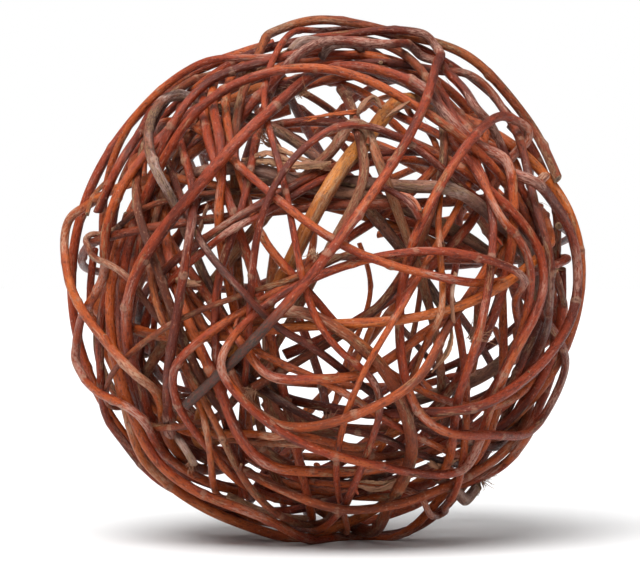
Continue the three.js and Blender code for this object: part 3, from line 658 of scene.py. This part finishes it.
class Nodes:
    """Short names for the shader nodes that the barks are made of."""

    def __init__(self, name):
        self.material = bpy.data.materials.new(name)
        self.material.use_nodes = True
        self.tree = self.material.node_tree
        self.shader = self.tree.nodes["Principled BSDF"]
        self.grain = self.attribute("grain", "Vector")

    def link(self, value, socket):
        if hasattr(value, "is_output"):
            self.tree.links.new(value, socket)
        else:
            socket.default_value = value

    def attribute(self, label, output="Fac"):
        node = self.tree.nodes.new("ShaderNodeAttribute")
        node.attribute_name = label
        return node.outputs[output]

    def math(self, operation, a, b):
        node = self.tree.nodes.new("ShaderNodeMath")
        node.operation = operation
        self.link(a, node.inputs[0])
        self.link(b, node.inputs[1])
        return node.outputs[0]

    def noise(self, along, across, detail, roughness):
        """Noise that changes so often to the mm along the grain and across it."""
        stretch = self.tree.nodes.new("ShaderNodeVectorMath")
        stretch.operation = "MULTIPLY"
        self.link(self.grain, stretch.inputs[0])
        stretch.inputs[1].default_value = (along, across, across)
        node = self.tree.nodes.new("ShaderNodeTexNoise")
        self.link(stretch.outputs[0], node.inputs["Vector"])
        node.inputs["Scale"].default_value = 1.0
        node.inputs["Detail"].default_value = detail
        node.inputs["Roughness"].default_value = roughness
        return node.outputs["Fac"]

    def between(self, value, low, high, low_out=0.0, high_out=1.0):
        """Goes smoothly from low_out to high_out while the value goes from low to high."""
        node = self.tree.nodes.new("ShaderNodeMapRange")
        node.interpolation_type = "SMOOTHSTEP"
        self.link(value, node.inputs["Value"])
        node.inputs["From Min"].default_value = low
        node.inputs["From Max"].default_value = high
        node.inputs["To Min"].default_value = low_out
        node.inputs["To Max"].default_value = high_out
        return node.outputs["Result"]

    def mix(self, share, a, b):
        node = self.tree.nodes.new("ShaderNodeMix")
        node.data_type = "RGBA"
        self.link(share, node.inputs[0])
        # Inputs 6 and 7 are the two colours.
        self.link((*a, 1) if isinstance(a, tuple) else a, node.inputs[6])
        self.link((*b, 1) if isinstance(b, tuple) else b, node.inputs[7])
        return node.outputs[2]


def bark_material(name, main, warm, deep, bloom, roughness, wrinkles, peeling):
    """Willow bark: warm and dark patches, mottling, grey film, scuffs, pale flecks and knots."""
    n = Nodes(name)
    scuffs = n.noise(along=0.5, across=2.4, detail=3.0, roughness=0.65)

    # Patches that are warmer or darker, more or less of them with each rod's own tone.
    patches = n.noise(along=0.03, across=0.2, detail=3.0, roughness=0.55)
    own_tone = n.math("MULTIPLY", n.math("SUBTRACT", n.attribute("tone"), 0.5), TONE_SHIFT)
    patches = n.math("ADD", patches, own_tone)
    color = n.mix(n.between(patches, 0.5, 0.66), main, warm)
    color = n.mix(n.between(patches, 0.46, 0.3, 0, 0.8), color, deep)
    mottling = n.noise(along=0.3, across=1.1, detail=5.0, roughness=0.68)
    color = n.mix(n.between(mottling, 0.5, 0.36, 0, 0.75), color, deep)
    color = n.mix(n.between(mottling, 0.56, 0.68, 0, 0.45), color, warm)

    # A pale film, most of it where a rod is bent sharply, and wood where bark has come off.
    film = n.noise(along=0.05, across=0.45, detail=2.0, roughness=0.6)
    film = n.math("ADD", film, n.math("MULTIPLY", n.attribute("worn"), 0.3))
    filmed = n.math("MULTIPLY", n.between(film, 0.58, 0.78), n.between(scuffs, 0.4, 0.6, 0.1, 1))
    color = n.mix(n.math("MULTIPLY", filmed, 0.8), color, bloom)
    rough = n.noise(along=0.07, across=0.3, detail=2.0, roughness=0.5)
    fibres = n.noise(along=0.4, across=2.8, detail=3.0, roughness=0.7)
    off = n.between(rough, 0.62 - peeling, 0.7 - peeling)
    scraped = n.math("MULTIPLY", off, n.between(fibres, 0.42, 0.6))
    color = n.mix(n.math("MULTIPLY", scraped, 0.7), color, WOOD_PALE)

    specks = n.noise(along=0.8, across=1.7, detail=2.0, roughness=0.6)
    color = n.mix(n.between(specks, 0.6, 0.68, 0, 0.75), color, deep)
    color = n.mix(n.between(specks, 0.37, 0.3, 0, 0.6), color, bloom)
    ringed = n.math("MULTIPLY", n.attribute("knot"), n.between(scuffs, 0.3, 0.6, 0.35, 1.0))
    color = n.mix(n.between(ringed, 0.2, 0.45, 0, 0.5), color, KNOT_PALE)
    color = n.mix(n.between(ringed, 0.6, 0.95, 0, 0.8), color, deep)
    darkened = n.math("MULTIPLY", n.attribute("dark"), n.between(scuffs, 0.36, 0.56, 0.5, 1))
    color = n.mix(darkened, color, DARK_SKIN)

    face = n.mix(n.attribute("pith"), WOOD_PALE, PITH)
    face = n.mix(n.between(scuffs, 0.35, 0.6, 0, 0.5), face, deep)
    color = n.mix(n.attribute("cut"), color, face)
    n.link(color, n.shader.inputs["Base Color"])

    gloss = n.between(scuffs, 0.35, 0.65, roughness - 0.08, roughness + 0.15)
    n.link(gloss, n.shader.inputs["Roughness"])
    n.shader.inputs["Specular IOR Level"].default_value = BARK_SHINE
    bump = n.tree.nodes.new("ShaderNodeBump")
    bump.inputs["Distance"].default_value = BARK_RELIEF * MM
    bump.inputs["Strength"].default_value = wrinkles
    height = n.math("ADD", n.math("MULTIPLY", fibres, 0.9), n.math("MULTIPLY", mottling, 1.4))
    height = n.math("ADD", height, n.math("MULTIPLY", scraped, 0.6))
    n.link(height, bump.inputs["Height"])
    n.link(bump.outputs["Normal"], n.shader.inputs["Normal"])
    return n.material


# Broken ends, torn bark and fibres


def seen_spot(spot):
    """The place of a spot, in mm from the ball's middle."""
    x, z, depth = spot
    sight = unit(np.array([x, VIEW_DISTANCE, z], dtype=float))
    eye = np.array([0.0, -VIEW_DISTANCE, 0.0])
    closest = -(eye @ sight)
    missed = eye @ eye - closest**2
    inside = math.sqrt(max(0.0, (BALL_RADIUS - depth) ** 2 - missed))
    return eye + sight * (closest - inside)


def line_through(spots):
    """A smooth line through spots."""
    places = np.array([seen_spot(spot) for spot in spots])
    return smooth_line(places, np.zeros(len(places)), RING_STEP)[0]


def bark_strip(name, line, width, bark, random):
    """A torn strip of bark that lies along the ball, curled across, with ragged edges and ends."""
    way = ways_along(line)
    along = unit(np.gradient(line, axis=0))
    across = unit(np.cross(along, unit(line)))
    tilt = STRIP_TILT * wave(random, way, STRIP_TILT_SPAN)[:, None]
    upward = unit(np.cross(across, along))
    across, upward = across + upward * tilt, upward - across * tilt
    shares = np.linspace(-1, 1, STRIP_SIDES)
    ragged = 1 + RAGGED * random.uniform(-1, 1, (len(line), 2))
    narrow = np.clip(np.minimum(way, way[-1] - way) / STRIP_NARROWS, STRIP_END, 1)
    half = (width / 2) * ragged * narrow[:, None]
    offset = np.where(shares < 0, half[:, :1], half[:, 1:]) * shares
    curl = -STRIP_CURL * np.abs(offset) ** STRIP_CURL_POWER / math.sqrt(width)
    outer = line[:, None, :] + across[:, None, :] * offset[:, :, None]
    outer = outer + upward[:, None, :] * curl[:, :, None]
    inner = outer - upward[:, None, :] * STRIP_THICKNESS
    ring = np.concatenate([outer, inner[:, ::-1]], axis=1)
    count, sides = ring.shape[:2]
    corners = ring.reshape(-1, 3) + BALL_CENTRE
    faces = tube_faces(count, sides)
    faces.append(tuple(range(sides - 1, -1, -1)))
    faces.append(tuple((count - 1) * sides + i for i in range(sides)))
    grain = np.zeros((len(corners), 3))
    grain[:, 0] = np.repeat(way, sides)
    grain[:, 1] = np.concatenate([offset, offset[:, ::-1]], axis=1).reshape(-1)
    looks = {"tone": np.full(len(corners), random.uniform(*STRIP_TONES))}
    return barked(name, corners, faces, grain, looks, bark, random)


def threads(name, lines, thickness, random):
    """Fine bark fibres along the given lines, as one piece."""
    corners, faces, ways = [], [], []
    angle = np.arange(FIBRE_SIDES) / FIBRE_SIDES * TURN
    for line, thick in zip(lines, thickness):
        _, across, side = frames_along(line)
        thin = np.linspace(1, FIBRE_TIP, len(line))[:, None, None] * thick / 2
        ring = rings_round(across, side, angle) * thin
        first = sum(map(len, corners))
        last = first + (len(line) - 1) * FIBRE_SIDES
        corners.append((line[:, None, :] + ring).reshape(-1, 3) + BALL_CENTRE)
        ways.append(np.repeat(np.arange(len(line)), FIBRE_SIDES))
        faces += tube_faces(len(line), FIBRE_SIDES, first)
        faces.append((first + 2, first + 1, first))
        faces.append((last, last + 1, last + 2))
    corners = np.concatenate(corners)
    corners[:, 2] = np.maximum(corners[:, 2], FIBRE_LOWEST)
    grain = np.zeros((len(corners), 3))
    grain[:, 0] = np.concatenate(ways)
    looks = {"tone": np.full(len(corners), FIBRE_TONE)}
    return barked(name, corners, faces, grain, looks, "torn", random)


def springing_line(random, start, direction, length, curl):
    """A fibre's line that leaves in a direction and curls as it goes."""
    heading = unit(direction)
    turn = unit(np.cross(heading, random.normal(size=3)))
    places = [start]
    for _ in range(FIBRE_STEPS):
        places.append(places[-1] + heading * length / FIBRE_STEPS)
        waver = random.normal(size=3) * FIBRE_WAVER
        heading = unit(heading + turn * curl / FIBRE_STEPS + waver)
    return np.array(places)


def tuft(name, spot, pointing, length, random):
    """The frayed end of a rod or strip: fibres that fan out."""
    start = seen_spot(spot)
    angle = math.radians(pointing)
    main = np.array([math.cos(angle), -TUFT_FORWARD, math.sin(angle)])
    lines = []
    for _ in range(TUFT_FIBRES):
        root = start + random.normal(size=3) * TUFT_WIDTH
        fan = unit(main + random.normal(size=3) * TUFT_SPREAD)
        reach = length * random.uniform(*TUFT_LENGTHS)
        lines.append(springing_line(random, root, fan, reach, random.normal()))
    threads(name, lines, random.uniform(*TUFT_THICKNESS, len(lines)), random)


def loose_fibres(rods, random):
    """Fibres that have come loose along the rods."""
    places, radii, rod_of = rods
    lines = []
    for _ in range(LOOSE_FIBRES):
        k = random.integers(LOOSE_MARGIN + 1, len(places) - LOOSE_MARGIN - 1)
        depth = BALL_RADIUS - np.linalg.norm(places[k])
        if rod_of[k - LOOSE_MARGIN] != rod_of[k + LOOSE_MARGIN] or depth < LOOSE_DEPTH:
            continue
        along = unit(places[k + 1] - places[k - 1])
        outward = unit(places[k] + random.normal(size=3) * LOOSE_SCATTER)
        outward = unit(outward - along * (outward @ along))
        start = places[k] + outward * radii[k] * LOOSE_ROOT
        leave = along * random.choice([-1, 1]) + outward * random.uniform(*LOOSE_LIFT)
        reach = random.uniform(*LOOSE_LENGTHS)
        lines.append(springing_line(random, start, leave, reach, random.normal() * LOOSE_CURL))
    threads("loose_fibres", lines, random.uniform(*LOOSE_THICKNESS, len(lines)), random)


def twig_stub(name, rods, bark_of, random):
    """What is left of a side twig, cut off short."""
    places, _, rod_of = rods
    while True:
        k = random.integers(STUB_MARGIN, len(places) - STUB_MARGIN)
        depth = BALL_RADIUS - np.linalg.norm(places[k])
        if rod_of[k - STUB_MARGIN] == rod_of[k + STUB_MARGIN] and depth < STUB_DEPTH:
            break
    along = unit(places[k + 1] - places[k - 1])
    outward = unit(places[k])
    outward = unit(outward - along * (outward @ along))
    side = np.cross(along, outward)
    lean = unit(outward * random.uniform(*STUB_RISE) + side * random.choice([-1, 1]))
    leave = unit(along * random.choice([-1, 1]) + lean * random.uniform(*STUB_LEAN))
    length = random.uniform(*STUB_LENGTHS)
    line = np.array([places[k] + leave * part * length for part in STUB_POINTS])
    radius = random.uniform(*STUB_RADII)
    radii = np.linspace(radius * STUB_ROOT, radius * STUB_TIP, len(line))
    rod_piece(name, line, radii, bark_of[rod_of[k]], random)


# The dressed ball


def dress_rods(names, slots, rods, random):
    """Puts a round rod over each packed one."""
    for i, name in enumerate(names):
        own = rods.rod_of == i
        bark = slots[name].removeprefix("bark_")
        piece = rod_piece(name + "_bark", rods.places[own], rods.radii[own],
                          OTHER_BARKS.get(name, bark), random,
                          rough=GREY_ROUGHNESS if bark == "grey" else 1.0,
                          odd_end=ODD_ENDS.get(name))
        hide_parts(name)


def add_trim(rods, bark_of, random):
    """Adds the broken ends, torn strips, frayed ends, twig stubs and loose fibres."""
    for label, (thickness, bark, spots) in BUTTS.items():
        line = line_through(spots)
        radii = np.full(len(line), thickness / 2)
        rod_piece("broken_end_" + label, line, radii, bark, random, rough=BUTT_ROUGHNESS)
    for label, (width, bark, spots) in STRIPS.items():
        for strand in range(1, STRANDS + 1):
            line = line_through(spots + random.normal(size=(len(spots), 3)) * width / 4)
            bark_strip(f"torn_strip_{label}_{strand}", line, width / 2, bark, random)
    for label, (spot, pointing, length) in TUFTS.items():
        tuft("fibre_tuft_" + label, spot, pointing, length, random)
    for number in range(1, TWIG_STUBS + 1):
        twig_stub(f"twig_stub_{number:02d}", rods, bark_of, random)
    loose_fibres(rods, random)


# Floor, surroundings, light and camera


def make_floor():
    """A wide, plain, pale floor."""
    material = bpy.data.materials.new("floor_white")
    material.use_nodes = True
    shader = material.node_tree.nodes["Principled BSDF"]
    shader.inputs["Base Color"].default_value = (*FLOOR_COLOR, 1)
    shader.inputs["Roughness"].default_value = FLOOR_ROUGHNESS
    reach = FLOOR_REACH
    corners = [(-reach, -reach, 0), (reach, -reach, 0), (reach, reach, 0), (-reach, reach, 0)]
    mesh = bpy.data.meshes.new("floor")
    mesh.from_pydata(corners, [], [(0, 1, 2, 3)])
    mesh.materials.append(material)
    floor = bpy.data.objects.new("floor", mesh)
    bpy.context.scene.collection.objects.link(floor)


def make_world():
    """Surroundings that the camera sees as white and that light the ball only a little."""
    world = bpy.data.worlds.new("surroundings")
    bpy.context.scene.world = world
    world.use_nodes = True
    tree = world.node_tree
    backdrop = tree.nodes["Background"]
    backdrop.inputs["Strength"].default_value = 1.0
    backdrop.inputs["Color"].default_value = (1, 1, 1, 1)
    room = tree.nodes.new("ShaderNodeBackground")
    room.inputs["Strength"].default_value = ROOM_LIGHT
    room.inputs["Color"].default_value = (1, 1, 1, 1)
    seen = tree.nodes.new("ShaderNodeLightPath")
    either = tree.nodes.new("ShaderNodeMixShader")
    tree.links.new(seen.outputs["Is Camera Ray"], either.inputs[0])
    tree.links.new(room.outputs[0], either.inputs[1])
    tree.links.new(backdrop.outputs[0], either.inputs[2])
    tree.links.new(either.outputs[0], tree.nodes["World Output"].inputs["Surface"])


def soft_light(name, azimuth, height, width, power):
    """Light from one side of the sky, as from a wide diffuser far away; the angles in degrees."""
    light = bpy.data.lights.new(name, "SUN")
    light.angle = math.radians(width)
    light.energy = power
    lamp = bpy.data.objects.new(name, light)
    around, up = math.radians(azimuth), math.radians(height)
    towards = Vector((math.sin(around) * math.cos(up), -math.cos(around) * math.cos(up), math.sin(up)))
    lamp.rotation_euler = towards.to_track_quat("Z", "Y").to_euler()
    bpy.context.scene.collection.objects.link(lamp)


def make_camera():
    """The photograph's camera, level with the ball's middle."""
    camera = bpy.data.cameras.new("camera")
    camera.sensor_width = SENSOR_MM
    camera.lens = FOCAL_PIXELS * SENSOR_MM / PHOTO_WIDTH
    seen = bpy.data.objects.new("camera", camera)
    right = (BALL_PIXEL[0] - PHOTO_WIDTH / 2) * VIEW_DISTANCE / FOCAL_PIXELS
    down = (BALL_PIXEL[1] - PHOTO_HEIGHT / 2) * VIEW_DISTANCE / FOCAL_PIXELS
    seen.location = Vector(BALL_CENTRE + (-right, -VIEW_DISTANCE, down)) * MM
    seen.rotation_euler = (math.pi / 2, 0, 0)
    bpy.context.scene.collection.objects.link(seen)
    bpy.context.scene.camera = seen


barks = {bark: bark_material("bark_" + bark, **looks) for bark, looks in BARKS.items()}
record_slots = {part["node"]: part["material_slot"] for part in frame["record"]["subparts"]}
rod_names = sorted(frame["nodes"])
laid = laid_rods(rod_names)
chance = np.random.default_rng(SEED)
dress_rods(rod_names, record_slots, laid, chance)
add_trim(laid, [record_slots[name].removeprefix("bark_") for name in rod_names], chance)
make_floor()
make_world()
soft_light("key", azimuth=-22, height=54, width=42, power=4.3)
soft_light("overhead", azimuth=10, height=80, width=110, power=1.9)
make_camera()
bpy.context.scene.view_settings.view_transform = "Standard"
